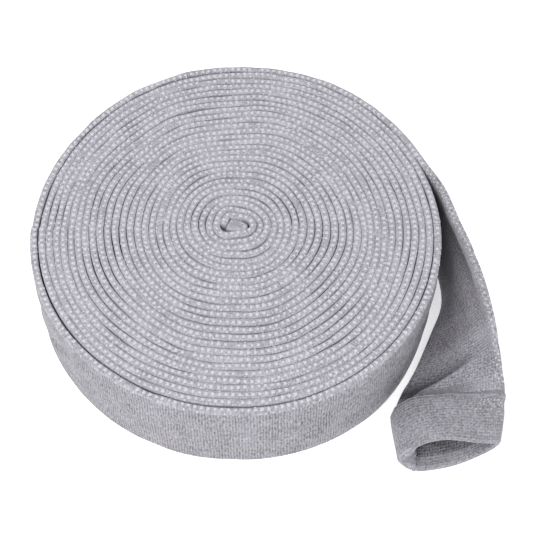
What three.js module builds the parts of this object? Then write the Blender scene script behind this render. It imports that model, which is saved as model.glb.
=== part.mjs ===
// A long tubular knitted sleeve, flattened and rolled up into a disc, with its free end lying beside the roll.
//
// Millimetres, +Z up. The origin is the middle of the roll on the face it rests on. The band stands on edge, so
// its folds make the flat faces of the roll. It winds outwards clockwise as seen from above, leaves the roll at
// DEPARTURE, leans over and lies down, and ends in a turned-back cuff with an open mouth that faces -Y.
//
// The sleeve is one flexible piece. It is cut here into the stretches that move against each other: rings of
// windings that can be pushed out of the roll, segments of the last half turn that peel off, and the free end.

import * as THREE from "three";

// Sleeve
const FLAT_WIDTH = 63; // fold to fold, laid flat
const PLY = 2.19; // one thickness of knit
const PITCH = 2 * PLY; // one winding is two plies
const GAP = 0.3; // clear space between neighbouring pieces
const BAND = PITCH - GAP; // thickness of the pressed band

// Roll
const WINDINGS = 27; // whole windings round the folded inner end
const CORE_HALF_RUN = 3.2; // half the straight run of the folded inner end
const STRETCH = 1.02; // the windings lie a little looser along Y, which keeps the rim round
const DEPARTURE = 30; // degrees from +X where the free end leaves the roll
const RING_WINDINGS = 4; // windings in each ring that can be pushed out
const RING_CUT = 240; // degrees wound past the top of a right-hand semicircle where rings are cut
const PEEL_SEGMENTS = 6; // segments in the last half turn
const FACET = 10; // degrees

// Free end. Each station gives the fold the band stands on, how far its lower and upper folds lean outwards
// from upright, the direction its outer face looks (degrees from +X), half its thickness, its width and how far
// its underside is off the floor.
const STATIONS = [
  { x: 107.5, y: 59.2, low: 0, high: 0, facing: 29.5, half: BAND / 2, width: FLAT_WIDTH, rest: 0 },
  { x: 114.8, y: 45.9, low: 0, high: 0, facing: 23, half: BAND / 2, width: FLAT_WIDTH, rest: 0 },
  { x: 121.5, y: 29.5, low: 2, high: 2, facing: 14, half: BAND / 2, width: FLAT_WIDTH, rest: 0 },
  { x: 127.0, y: 6.0, low: 4, high: 4, facing: 4, half: BAND / 2, width: FLAT_WIDTH, rest: 0 },
  { x: 128.2, y: -17.0, low: 14, high: 6, facing: -3, half: BAND / 2, width: FLAT_WIDTH, rest: 0 },
  { x: 118.5, y: -41.0, low: 50, high: 5, facing: -4, half: BAND / 2, width: FLAT_WIDTH, rest: 0 },
  { x: 107.5, y: -65.0, low: 72, high: 20, facing: -3, half: 2.3, width: FLAT_WIDTH, rest: 0 },
  { x: 98.0, y: -82.0, low: 80, high: 48, facing: 0, half: 3.6, width: FLAT_WIDTH, rest: 0.6 },
  { x: 94.0, y: -97.0, low: 85, high: 76, facing: 6, half: 7.5, width: 62, rest: 2.8 },
  { x: 97.0, y: -125.0, low: 88, high: 86, facing: 9, half: 9, width: 55, rest: 2.8 },
];
// Where the free end is cut or changes, in stations: the bend that lifts, where the plies part, the turned-back
// edge and the mouth.
const LIFT = 6.3;
const PARTING = 7.3;
const HEM = 8;
const MOUTH = 9;
const LOWER_LIP = 10; // how far the lower lip reaches past the upper one, at its fullest
const CUFF_GAP = 0.45; // between the turned-back layer and the tube
const RIM = 2.2; // depth of the fold round the mouth
const THREAD = 0.8; // radius of the stitching along the turned-back edge

const KNIT = { color: 0xa9a7ad, roughness: 0.95, metalness: 0 };
const CUFF = { color: 0xa3a1a7, roughness: 0.95, metalness: 0 };
const STITCH = { color: 0xd6d4da, roughness: 0.8, metalness: 0 };

const degrees = THREE.MathUtils.degToRad;
const part = new THREE.Group();

function addPiece(name, geometry, look) {
  const mesh = new THREE.Mesh(geometry, new THREE.MeshStandardMaterial(look));
  mesh.name = name;
  part.add(mesh);
}

// ---- The roll: semicircles about two centres half a pitch apart, which keep a constant pitch ----

// wound: degrees wound since the folded inner end turned its first corner. Odd half turns are the left ones.
function semicircle(halfTurn) {
  return halfTurn % 2 === 0
    ? { x: CORE_HALF_RUN, y: -PITCH / 2, radius: (halfTurn / 2 + 0.5) * PITCH }
    : { x: -CORE_HALF_RUN, y: 0, radius: ((halfTurn + 1) / 2) * PITCH };
}

function onSemicircle(halfTurn, wound, side) {
  const arc = semicircle(halfTurn);
  const angle = degrees(90 - wound);
  const radius = arc.radius + side;
  return new THREE.Vector2(arc.x + radius * Math.cos(angle), STRETCH * (arc.y + radius * Math.sin(angle)));
}

// Points along one face of the band between two amounts of winding, half a gap short at each cut end. A cut at
// the start of a semicircle is in the middle of the straight run before it.
function coilFace(from, to, side, isCutStart) {
  const trim = (wound) => THREE.MathUtils.radToDeg(GAP / 2 / semicircle(Math.floor(wound / 180)).radius);
  const points = [];
  if (isCutStart && from % 180 === 0) {
    points.push(new THREE.Vector2(GAP / 2, onSemicircle(from / 180, from, side).y));
  }
  for (let half = Math.floor(from / 180); half * 180 < to; half++) {
    const isFirst = half * 180 < from;
    const isLast = (half + 1) * 180 > to;
    const start = isFirst ? from + trim(from) : half * 180;
    const end = isLast ? to - trim(to) : (half + 1) * 180;
    const steps = Math.max(1, Math.round((end - start) / FACET));
    for (let i = 0; i <= steps; i++) {
      points.push(onSemicircle(half, start + ((end - start) * i) / steps, side));
    }
  }
  if (to % 180 === 0) {
    points.push(new THREE.Vector2(-GAP / 2, onSemicircle(to / 180 - 1, to, side).y));
  }
  return points;
}

// A stretch of the band, upright, from one amount of winding to another.
function bandStretch(from, to, innerEnd = []) {
  const isCutStart = innerEnd.length === 0;
  const outer = coilFace(from, to, BAND / 2, isCutStart);
  const inner = coilFace(from, to, -BAND / 2, isCutStart);
  const outline = [...outer, ...inner.reverse(), ...innerEnd];
  return new THREE.ExtrudeGeometry(new THREE.Shape(outline), { depth: FLAT_WIDTH, bevelEnabled: false });
}

const peelEnd = WINDINGS * 360 + 90 - DEPARTURE;
const peelStart = peelEnd - 180;
const ringCuts = [];
for (let k = 2; k <= WINDINGS - 1; k += RING_WINDINGS) {
  ringCuts.push(k * 360 + RING_CUT);
}

// The sleeve's inner end: a straight run through the middle of the roll, which the first winding folds round.
const innerEnd = [
  new THREE.Vector2(-CORE_HALF_RUN, (-STRETCH * BAND) / 2),
  new THREE.Vector2(-CORE_HALF_RUN, (STRETCH * BAND) / 2),
];
addPiece("core_turns", bandStretch(0, ringCuts[0], innerEnd), KNIT);
for (let i = 0; i + 1 < ringCuts.length; i++) {
  const isOutermost = i + 2 === ringCuts.length;
  const name = isOutermost ? "outer_turns" : `ring_${i + 1}_turns`;
  addPiece(name, bandStretch(ringCuts[i], ringCuts[i + 1]), KNIT);
}

// ---- The last half turn, which peels off ----

for (let i = 0; i < PEEL_SEGMENTS; i++) {
  const span = (peelEnd - peelStart) / PEEL_SEGMENTS;
  const from = peelStart + i * span;
  addPiece(`peel_segment_${i + 1}`, bandStretch(from, from + span), KNIT);
}

// ---- The free end ----

const lastStation = STATIONS.length - 1;
const seatCurve = new THREE.CatmullRomCurve3(STATIONS.map((s) => new THREE.Vector3(s.x, s.y, 0)));
const leanCurve = new THREE.CatmullRomCurve3(STATIONS.map((s) => new THREE.Vector3(s.low, s.high, s.facing)));

// The cross-section at a station number. at(across, out) is a point: across runs from the lower fold to the upper
// one along the leaning band, out is the distance from its middle surface towards the outer face.
function section(station) {
  const seat = seatCurve.getPoint(station / lastStation);
  const lean = leanCurve.getPoint(station / lastStation);
  const before = Math.min(Math.floor(station), lastStation - 1);
  const past = station - before;
  const between = (key) => THREE.MathUtils.lerp(STATIONS[before][key], STATIONS[before + 1][key], past);
  const half = between("half");
  const width = between("width");
  const low = degrees(lean.x);
  const high = degrees(lean.y);
  const facing = degrees(lean.z);
  const curl = (high - low) / width;
  const isFlat = Math.abs(high - low) < 1e-4;
  const outward = new THREE.Vector3(Math.cos(facing), Math.sin(facing), 0);
  const up = new THREE.Vector3(0, 0, 1);
  seat.z = half * Math.sin(low) + between("rest");

  const at = (across, out) => {
    const angle = low + curl * across;
    const run = isFlat ? across * Math.sin(low) : (Math.cos(low) - Math.cos(angle)) / curl;
    const rise = isFlat ? across * Math.cos(low) : (Math.sin(angle) - Math.sin(low)) / curl;
    return seat
      .clone()
      .addScaledVector(outward, run + out * Math.cos(angle))
      .addScaledVector(up, rise - out * Math.sin(angle));
  };
  return { at, half, width };
}

// A closed block from a grid of points: at(i, j, side), where i runs along the sleeve, j upwards across it and
// side is 1 on the face that looks out.
function block(rows, columns, at) {
  const vertices = [];
  const triangles = [];
  const index = (i, j, side) => (i * (columns + 1) + j) * 2 + side;
  const quad = (a, b, c, d) => triangles.push(a, b, c, a, c, d);
  for (let i = 0; i <= rows; i++) {
    for (let j = 0; j <= columns; j++) {
      vertices.push(...at(i, j, 0).toArray(), ...at(i, j, 1).toArray());
    }
  }
  for (let i = 0; i < rows; i++) {
    for (let j = 0; j < columns; j++) {
      quad(index(i, j, 1), index(i, j + 1, 1), index(i + 1, j + 1, 1), index(i + 1, j, 1));
      quad(index(i, j, 0), index(i + 1, j, 0), index(i + 1, j + 1, 0), index(i, j + 1, 0));
    }
  }
  for (let i = 0; i < rows; i++) {
    quad(index(i, 0, 0), index(i, 0, 1), index(i + 1, 0, 1), index(i + 1, 0, 0));
    quad(index(i, columns, 1), index(i, columns, 0), index(i + 1, columns, 0), index(i + 1, columns, 1));
  }
  for (let j = 0; j < columns; j++) {
    quad(index(0, j, 0), index(0, j + 1, 0), index(0, j + 1, 1), index(0, j, 1));
    quad(index(rows, j, 1), index(rows, j + 1, 1), index(rows, j + 1, 0), index(rows, j, 0));
  }
  const geometry = new THREE.BufferGeometry();
  geometry.setAttribute("position", new THREE.Float32BufferAttribute(vertices, 3));
  geometry.setIndex(triangles);
  geometry.computeVertexNormals();
  return geometry;
}

// A stretch of the free end as a pressed band, both plies together.
function pressedStretch(from, to) {
  const rows = Math.ceil((to - from) * 4);
  const columns = 8;
  return block(rows, columns, (i, j, side) => {
    const cut = section(from + ((to - from) * i) / rows);
    const across = j / columns;
    const roundOff = Math.pow(Math.abs(2 * across - 1), 6);
    const thickness = cut.half * Math.max(0.5, Math.pow(1 - roundOff, 1 / 6));
    return cut.at(cut.width * across, side ? thickness : -thickness);
  });
}

// How far the lower lip reaches forwards at a point of the open end, full on the roll's side of its middle.
function lipReach(station, turn, ply) {
  const ramp = THREE.MathUtils.smoothstep(station, PARTING, MOUTH);
  return ply > 0 ? ramp * LOWER_LIP * Math.sin(turn) * (1 - turn / Math.PI) : 0;
}

// A point of the open tube's wall. turn runs 0..pi over one ply; ply is 1 for the outer ply, which lies
// underneath, and -1 for the inner one. depth is measured outwards from the tube's own surface.
function wallPoint(station, turn, ply, depth, forward = 0) {
  const cut = section(station);
  const halfWidth = cut.width / 2;
  const normal = new THREE.Vector2(-Math.cos(turn) / halfWidth, Math.sin(turn) / cut.half).normalize();
  const across = halfWidth * (1 - Math.cos(turn)) + normal.x * depth;
  const out = Math.max(cut.half * Math.sin(turn) + normal.y * depth, GAP / 2);
  const point = cut.at(across, ply * out);
  point.y -= lipReach(station, turn, ply) + forward;
  return point;
}

// One ply of the open tube between two stations.
function plyStretch(from, to, ply) {
  const rows = 8;
  const columns = 14;
  return block(rows, columns, (i, j, side) => {
    const isOuterSurface = (side === 1) === ply > 0;
    const station = from + ((to - from) * i) / rows;
    return wallPoint(station, (Math.PI * j) / columns, ply, isOuterSurface ? 0 : -PLY);
  });
}

// The turned-back edge on one ply: it lies on the tube and folds round the mouth. Each row gives the depth and
// the forward reach of its surface against the tube and of its outer surface.
function cuffStretch(ply) {
  const columns = 14;
  const rows = [];
  for (let i = 0; i <= 4; i++) {
    const station = THREE.MathUtils.lerp(HEM, MOUTH, i / 4);
    rows.push({ station, against: [CUFF_GAP, 0], outer: [CUFF_GAP + PLY, 0] });
  }
  rows.push({ station: MOUTH, against: [CUFF_GAP, CUFF_GAP], outer: [PLY * 0.7, CUFF_GAP + RIM * 0.75] });
  rows.push({ station: MOUTH, against: [-PLY / 2, CUFF_GAP], outer: [-PLY / 4, CUFF_GAP + RIM] });
  rows.push({ station: MOUTH, against: [-PLY, CUFF_GAP], outer: [-PLY, CUFF_GAP + RIM * 0.75] });
  return block(rows.length - 1, columns, (i, j, side) => {
    const isOuterSurface = (side === 1) === ply > 0;
    const [depth, forward] = isOuterSurface ? rows[i].outer : rows[i].against;
    return wallPoint(rows[i].station, (Math.PI * j) / columns, ply, depth, forward);
  });
}

// A round thread laid on the tube along the turned-back edge, on one ply.
function threadStretch(ply) {
  const edgeClearance = 0.1; // stations from the edge
  const endClearance = 0.12; // radians round the tube from the fold
  const count = 16;
  const points = [];
  for (let i = 0; i <= count; i++) {
    const turn = THREE.MathUtils.lerp(endClearance, Math.PI - endClearance, i / count);
    points.push(wallPoint(HEM - edgeClearance, turn, ply, THREAD + 2 * GAP));
  }
  const profile = new THREE.Shape();
  profile.absarc(0, 0, THREAD, 0, 2 * Math.PI);
  return new THREE.ExtrudeGeometry(profile, {
    steps: 24,
    curveSegments: 4,
    bevelEnabled: false,
    extrudePath: new THREE.CatmullRomCurve3(points),
  });
}

const halfCut = 0.008; // half a cut between two stretches of the free end, in stations
addPiece("tail_root", pressedStretch(halfCut, LIFT - halfCut), KNIT);
addPiece("tail_middle", pressedStretch(LIFT + halfCut, PARTING - halfCut), KNIT);
addPiece("mouth_lower_ply", plyStretch(PARTING + halfCut, MOUTH, 1), KNIT);
addPiece("mouth_upper_ply", plyStretch(PARTING + halfCut, MOUTH, -1), KNIT);
addPiece("cuff_lower", cuffStretch(1), CUFF);
addPiece("cuff_upper", cuffStretch(-1), CUFF);
addPiece("cuff_thread_lower", threadStretch(1), STITCH);
addPiece("cuff_thread_upper", threadStretch(-1), STITCH);

export default part;
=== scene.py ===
"""A long knitted sleeve, pressed flat and rolled up on edge, with its free end lying beside the roll.

Lengths are in millimetres until a mesh is made. The sleeve is a pressed band: at every length u along it, a row
of values says where its lower fold stands, which way its outer face looks and how far it leans. Skins are swept
through those rows, and the white stitches are laid on them.
"""

import math

import bpy
import numpy as np
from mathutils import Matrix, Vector


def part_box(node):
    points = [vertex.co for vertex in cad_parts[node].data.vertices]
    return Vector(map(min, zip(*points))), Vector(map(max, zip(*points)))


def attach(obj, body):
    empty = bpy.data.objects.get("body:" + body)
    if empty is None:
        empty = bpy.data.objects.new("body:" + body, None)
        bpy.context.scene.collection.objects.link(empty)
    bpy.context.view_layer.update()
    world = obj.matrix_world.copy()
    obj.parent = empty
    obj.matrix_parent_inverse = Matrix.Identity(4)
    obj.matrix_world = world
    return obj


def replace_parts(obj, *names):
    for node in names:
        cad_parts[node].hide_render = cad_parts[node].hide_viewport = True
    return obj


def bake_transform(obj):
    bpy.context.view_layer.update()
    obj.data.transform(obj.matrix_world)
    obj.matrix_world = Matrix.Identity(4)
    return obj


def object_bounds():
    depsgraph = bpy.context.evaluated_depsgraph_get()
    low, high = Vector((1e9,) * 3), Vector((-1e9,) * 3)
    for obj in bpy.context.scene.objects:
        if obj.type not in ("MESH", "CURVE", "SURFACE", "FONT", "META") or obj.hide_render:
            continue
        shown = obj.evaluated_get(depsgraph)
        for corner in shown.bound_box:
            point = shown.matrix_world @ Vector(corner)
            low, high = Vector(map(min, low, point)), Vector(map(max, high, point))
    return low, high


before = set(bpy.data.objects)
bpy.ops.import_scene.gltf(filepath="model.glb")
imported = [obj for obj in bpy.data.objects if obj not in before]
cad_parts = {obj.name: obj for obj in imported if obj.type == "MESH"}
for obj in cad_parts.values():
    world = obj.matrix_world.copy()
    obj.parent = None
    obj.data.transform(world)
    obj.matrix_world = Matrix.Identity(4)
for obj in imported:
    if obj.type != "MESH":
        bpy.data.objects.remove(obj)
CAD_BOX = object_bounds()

MM = 0.001

# ----dimensions of the sleeve

FLAT_WIDTH = (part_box("core_turns")[1].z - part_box("core_turns")[0].z) / MM
PLY = 2.19
PITCH = 2 * PLY  # from one winding to the next
WINDINGS = 27
CORE_HALF_RUN = 3.2  # half the straight run between one half turn and the next
STRETCH = 1.02  # how much longer the roll is from front to back than from side to side

# Places along the wound part, in degrees wound.
DEPARTURE = 30  # how long before the roll's right side the free end leaves it
WOUND_END = WINDINGS * 360 + 90 - DEPARTURE
PEEL_START = WOUND_END - 180
PEEL_STEP = 30
FRONT_START = PEEL_START - 180  # where the outermost winding starts
RING_CUTS = [winding * 360 + 240 for winding in range(2, 23, 4)]
RAMP = 90  # how much of the winding slopes either side of a ring's cut when the ring is pushed out
CORE_START = 250  # where the first visible winding comes out of the folded middle

PRESSED = 2.15  # half the thickness of the wound band
FOLD = 1.25  # depth of the rounding at a fold
SQUARENESS = 2 / 2.5  # power of the rounding's sine and cosine: 1 is an ellipse, less is squarer
LOOSE = 0.8  # how far the outermost winding stands off the one inside it
DRIFT = np.array([-1.7, 4.0])  # how far the middle of the roll lies from the middle of its rim
DOME = 2.5  # how far the middle of the roll stands up
RIM = 125  # radius of the roll
WANDER = 0.9  # how far the windings wander together
THREE_CORNERED = 1.0  # how far the innermost windings are from round
FLATTER = ((2.2, 145, 55), (1.1, -128, 45))  # depth, direction and reach (degrees) of the rim's flatter places
TUCKED = 2.7  # how far the outermost winding's start is drawn in over the one inside it

FLECK_PITCH = 3.8  # from one white stitch to the next
COURSE = 1.7  # width of one course of knitting
COIL_STEP = FLECK_PITCH / 4  # length of a face of the skin on the roll's inner windings
WALL_STEP = COURSE / 4  # and on the outermost winding and the free end

# The free end, station by station: lower fold (x, y), lean of the lower and of the upper fold from upright,
# the outer face's direction, half thickness, width and height of its underside.
WOUND = (PRESSED, FLAT_WIDTH, 0.0)
STATIONS = np.array(
    [
        (107.5, 59.2, 0, 0, 29.5, *WOUND),
        (114.8, 45.9, 0, 0, 23, *WOUND),
        (121.5, 29.5, 2, 2, 14, *WOUND),
        (127.0, 6.0, 4, 4, 4, *WOUND),
        (128.2, -17.0, 14, 6, -3, *WOUND),
        (118.5, -41.0, 50, 5, -4, *WOUND),
        (107.5, -65.0, 72, 20, -3, 2.3, 64, 0.2),
        (98.0, -82.0, 80, 48, 0, 3.6, 65.5, 0.7),
        (93.5, -97.0, 85, 76, 6, 7.5, 66, 2.8),
        (96.0, -125.0, 88, 86, 9, 9.0, 57, 2.8),
    ]
)
LAST = len(STATIONS) - 1
TAIL_BEND = 5.3  # station where the free end starts to bend down to the mouth
CREASE_START, CREASE_END = 5.7, 6.95  # stations between which the crease crosses the inner face
CREASE_SLANT = 44.0  # and how far across it goes
MOUTH_ROOT = 7.2  # station where the mouth's own skin starts
HEM = 8.0  # station of the hem of the turned-back edge
MOUTH = 9.0  # station of the mouth's rim
LOWER_LIP = 10.0  # how much further the lower ply reaches near its fold
CUFF_THICKNESS = 2.6  # how far the turned-back edge stands off the wall
UV_LAYER = "KnitMM"  # texture map in millimetres: u along the sleeve, v across it from the upper fold

rng = np.random.RandomState(7)


def smooth(x, start, end):
    """0 before start and 1 after end, with an even change between them. Start may be the larger."""
    t = np.clip((np.asarray(x, float) - start) / (end - start), 0, 1)
    return t * t * (3 - 2 * t)


def bump_at(x, middle, reach):
    """1 at the middle, falling to 0 at reach on either side."""
    return smooth(np.abs(np.asarray(x, float) - middle), reach, 0)


def mix(a, b, share):
    return a + (b - a) * share


def path_length(points):
    """Length along a row of points, from the first of them to each."""
    return np.concatenate([[0], np.cumsum(np.linalg.norm(np.diff(points, axis=0), axis=1))])


class Waves:
    """Smooth noise, about -1 to 1: a sum of sines with random lengths, directions and phases."""

    def __init__(self, wavelength, count=7):
        angle = rng.uniform(0, 2 * math.pi, count)
        self.size = 2 * math.pi / (wavelength * rng.uniform(0.6, 1.6, count))
        self.x_size, self.y_size = self.size * np.cos(angle), self.size * np.sin(angle)
        self.phase = rng.uniform(0, 2 * math.pi, count)
        self.gain = 1.0 / math.sqrt(count)

    def along(self, s):
        s = np.asarray(s, float)[..., None]
        return self.gain * np.sin(s * self.size + self.phase).sum(-1)

    def over(self, x, y):
        x, y = (place[..., None] for place in np.broadcast_arrays(np.asarray(x, float), np.asarray(y, float)))
        return self.gain * np.sin(x * self.x_size + y * self.y_size + self.phase).sum(-1)


roll_drift = Waves(80)
height_long = Waves(170)
height_short = Waves(30)
thickness_waves = Waves(50)
fleck_patches = Waves(130)
fleck_places = Waves(17)
fleck_drift = Waves(60)
wall_waves = Waves(42)
tail_waves = Waves(34)
cuff_waves = Waves(17)

# ----the band's rows


def semicircle(half):
    """Centre and radius of one half turn of the roll."""
    if half % 2 == 0:
        return CORE_HALF_RUN, -PITCH / 2, (half / 2 + 0.5) * PITCH
    return -CORE_HALF_RUN, 0.0, (half + 1) / 2 * PITCH


def loosened(x, y, wound):
    """The windings wander together, are less round near the middle and flatter at two places of the rim. The
    middle lies off centre and the last winding stands off. Nothing changes where the free end leaves."""
    radius, angle = np.hypot(x, y), np.arctan2(y, x)
    wander = WANDER * roll_drift.over(x, y) * smooth(radius, 6, 30) * smooth(radius, 121, 90)
    cornered = THREE_CORNERED * np.cos(3 * angle + 0.5) * smooth(radius, 30, 9)
    degrees = np.degrees(angle)
    flatter = -sum(depth * bump_at(degrees, towards, reach) for depth, towards, reach in FLATTER) * radius / RIM
    calm = smooth(np.hypot(x - STATIONS[0, 0], y - STATIONS[0, 1]), 12, 70)
    off = LOOSE * (0.5 + 0.7 * bump_at(wound, FRONT_START + 165, 80))
    off = off * smooth(wound, FRONT_START - 20, FRONT_START + 30)
    off = off * smooth(wound, WOUND_END - 10, WOUND_END - 70)
    share = ((wander + cornered + flatter) * calm + off) / np.maximum(radius, 1)
    inner = 1 - radius / RIM
    pulled_back = 1.0 * calm * (1 - inner)
    return x + share * x + DRIFT[0] * inner, y + share * y + DRIFT[1] * inner + pulled_back


def coil_line():
    """Dense points of the wound band's middle line: x, y, degrees wound and length along it."""
    parts = []
    for half in range(math.ceil(WOUND_END / 180)):
        cx, cy, radius = semicircle(half)
        wound = np.arange(half * 180, min((half + 1) * 180, WOUND_END) + 0.01, 0.5)
        angle = np.radians(90 - wound)
        parts.append((cx + radius * np.cos(angle), STRETCH * (cy + radius * np.sin(angle)), wound))
    x, y, wound = [np.concatenate(column) for column in zip(*parts)]
    x, y = loosened(x, y, wound)
    return x, y, wound, np.concatenate([[0], np.cumsum(np.hypot(np.diff(x), np.diff(y)))])


LINE_X, LINE_Y, LINE_WOUND, LINE_U = coil_line()
COIL_LENGTH = float(LINE_U[-1])


def length_at(wound):
    return float(np.interp(wound, LINE_WOUND, LINE_U))


def line_at(u):
    return np.stack([np.interp(u, LINE_U, LINE_X), np.interp(u, LINE_U, LINE_Y)])


def coil_rows(u):
    """x, y, low, high, facing, half thickness, width and rest height on the wound part. Its windings differ in
    height, leave gaps here and there, and are closer together on the side the middle has moved to."""
    u = np.clip(u, 0, COIL_LENGTH)
    reach = 0.6
    x, y = line_at(u)
    run_x, run_y = line_at(u + reach) - line_at(u - reach)
    calm = smooth(u, COIL_LENGTH, COIL_LENGTH - 60)
    sunk = 0.35 + 0.5 * height_long.along(u) + 0.3 * height_short.along(u)
    width = FLAT_WIDTH - calm * sunk
    facing = np.arctan2(run_x, -run_y)
    squeeze = calm * (DRIFT[0] * np.cos(facing) + DRIFT[1] * np.sin(facing)) / RIM
    thinner = 0.05 * thickness_waves.along(u)
    gap = 0.3 * smooth(thickness_waves.along(u), 0.5, 1.7)
    half = PRESSED * (1 - squeeze) - calm * (thinner + gap)
    tucked = TUCKED * bump_at(np.interp(u, LINE_U, LINE_WOUND), FRONT_START + 42, 42)
    lean = np.arcsin(tucked / width)
    x, y = x - tucked * np.cos(facing), y - tucked * np.sin(facing)
    dome = DOME * smooth(np.hypot(x, y), 115, 5)
    return np.stack([x, y, lean, lean, facing, half, width, dome], -1)


def spline(points, t):
    """Points on the centripetal Catmull-Rom curve through the rows of points, at station numbers t."""
    t = np.clip(t, 0, len(points) - 1 - 1e-9)
    first = np.floor(t).astype(int)
    share = (t - first)[:, None]
    padded = np.vstack([2 * points[0] - points[1], points, 2 * points[-1] - points[-2]])
    a, b, c, d = (padded[first + k] for k in range(4))
    pairs = ((a, b), (b, c), (c, d))
    ab, bc, cd = (np.sqrt(np.linalg.norm(q - p, axis=1, keepdims=True)) for p, q in pairs)
    too_short = 1e-4
    ab, cd = np.where(ab < too_short, bc, ab), np.where(cd < too_short, bc, cd)
    leave = ((b - a) / ab - (c - a) / (ab + bc) + (c - b) / bc) * bc
    arrive = ((c - b) / bc - (d - b) / (bc + cd) + (d - c) / cd) * bc
    square, cube = (-3 * b + 3 * c - 2 * leave - arrive), (2 * b - 2 * c + leave + arrive)
    return b + leave * share + square * share**2 + cube * share**3


def tail_rows(t):
    """The same eight values on the free end, at station numbers t."""
    seat = spline(np.column_stack([STATIONS[:, :2], np.zeros(LAST + 1)]), t)[:, :2]
    lean = np.radians(spline(STATIONS[:, 2:5], t))
    numbers = np.arange(LAST + 1)
    rest = np.stack([np.interp(t, numbers, STATIONS[:, k]) for k in (5, 6, 7)], -1)
    return np.hstack([seat, lean, rest])


class Rows:
    """The band at a row of places along it."""

    def __init__(self, u, t, values):
        self.u, self.t = u, t
        self.x, self.y, self.low, self.high = values.T[:4, :, None]
        self.facing, self.half, self.width, self.rest = values.T[4:, :, None]
        self.opened = smooth(t, 5.4, MOUTH_ROOT)[:, None]

    def open_out(self, across, out):
        """How far out the skin is where the band opens from a pressed shape into an oval one."""
        oval = self.half * np.sqrt(np.clip(1 - (2 * across / self.width - 1) ** 2, 0, 1))
        return mix(out, oval, self.opened)

    def at(self, across, out):
        """Points (rows, columns, 3) at distances across from the lower fold and out from the middle."""
        curl = (self.high - self.low) / self.width
        almost_flat = 1e-6
        curl = np.where(np.abs(curl) < almost_flat, almost_flat, curl)
        angle = self.low + curl * across
        run = (np.cos(self.low) - np.cos(angle)) / curl + out * np.cos(angle)
        rise = (np.sin(angle) - np.sin(self.low)) / curl - out * np.sin(angle)
        seat = self.half * np.sin(self.low) + self.rest
        x, y = self.x + run * np.cos(self.facing), self.y + run * np.sin(self.facing)
        return np.stack([x, y, seat + rise], -1)


def tail_lengths():
    """Stations, and the length u that each one is at."""
    t = np.linspace(0, LAST, 500)
    middle = Rows(t, t, tail_rows(t)).at(FLAT_WIDTH / 2, 0)[:, 0]
    return t, COIL_LENGTH + path_length(middle)


TAIL_T, TAIL_U = tail_lengths()


def length_of_station(t):
    return float(np.interp(t, TAIL_T, TAIL_U))


def rows_at(u):
    u = np.asarray(u, float)
    t = np.interp(u, TAIL_U, TAIL_T)
    values = np.where((u > COIL_LENGTH)[:, None], tail_rows(t), coil_rows(u))
    return Rows(u, t, values)


def places(start, end, step):
    return np.linspace(start, end, max(2, int(round((end - start) / step)) + 1))


# ----the band's cross-section


class Section:
    """Columns once round the pressed band: up the outer ply, over the upper fold and down the inner ply. A
    fold's quarter turn takes lower or upper columns, a ply's wall takes wall columns. v is each column's
    distance from the top of the upper fold, positive on the outer ply."""

    def __init__(self, lower, upper, wall):
        quarter = math.pi / 2
        lower_turn = np.linspace(0, quarter, lower + 1)
        upper_turn = np.linspace(0, quarter, upper + 1)
        share = np.linspace(0, 1, wall + 2)[1:-1]
        up = [(-1, turn, 0, 1) for turn in lower_turn] + [(0, quarter, s, 1) for s in share]
        up += [(1, turn, 0, 1) for turn in upper_turn[::-1]]
        down = [(1, turn, 0, -1) for turn in upper_turn[1:]] + [(0, quarter, s, -1) for s in share[::-1]]
        down += [(-1, turn, 0, -1) for turn in lower_turn[:0:-1]]
        self.fold_side, self.turn, self.share, self.side = np.array(up + down, float).T
        nominal = self.points(rows_at([COIL_LENGTH / 2]), 0)[0]
        path = path_length(np.vstack([nominal, nominal[:1]]))
        top = len(up) - 1
        self.v = path[top] - path

    def across_out(self, rows, height):
        """Distance across from the lower fold and out from the middle, with the surface raised by height."""
        sine, cosine = np.sin(self.turn), np.clip(np.cos(self.turn), 0, 1)
        depth = (1 - cosine**SQUARENESS) * FOLD
        lower, upper = depth + 0 * rows.width, rows.width - depth
        wall = FOLD + self.share * (rows.width - 2 * FOLD)
        across = np.where(self.fold_side < 0, lower, np.where(self.fold_side > 0, upper, wall))
        out = rows.open_out(across, rows.half * sine**SQUARENESS)
        across = across + self.fold_side * cosine * height
        return across, self.side * (out + sine * height)

    def points(self, rows, height):
        return rows.at(*self.across_out(rows, height))


PLAIN_SECTION = Section(lower=3, upper=6, wall=0)
FINE_SECTION = Section(lower=5, upper=8, wall=26)


# ----the band's relief

BEAD = 0.16  # height of the swelling under a white stitch
RIB, RIB_CHANGE = 0.09, 0.05  # height of the ribs of knitting, and how much it changes from place to place
RIB_SWAY = 0.9  # how far the ribs sway sideways
SAG, SWELL = 0.55, 0.25  # how far the outermost wall waves, and how far it stands out besides
VALLEY, VALLEY_RIDGE = 5.2, 1.6  # depth of the hollow beyond the crease, and height of the ridge before it
GUTTER, RIDGE = 2.6, 1.3  # depth and height of the free end's long hollow and of its cross ridge
INNER_DENTS, OUTER_DENTS = 0.6, 0.4  # depth of the dents in the two plies of the free end
TUCKED_IN = 0.5  # how far the free end sinks where the mouth's own skin covers it
PLY_GAP = 0.08  # least distance between the two plies


def beads(u, v):
    """Soft swellings along the top of the band, one for each white stitch."""
    return BEAD * np.cos(2 * math.pi * u / FLECK_PITCH) * bump_at(v, 0, 2.8)


def ribs(u, v):
    """Upright ribs of knitting on the walls."""
    from_bottom = np.abs(np.abs(v) - FLAT_WIDTH - 3)
    away_from_folds = smooth(np.abs(v), 2.5, 5.5) * smooth(from_bottom, 1.5, 4)
    sway = RIB_SWAY * wall_waves.over(u * 0.5, v)
    height = RIB + RIB_CHANGE * cuff_waves.over(u, v * 0.5)
    return height * np.cos(2 * math.pi * (u + sway) / COURSE) * away_from_folds


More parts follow.
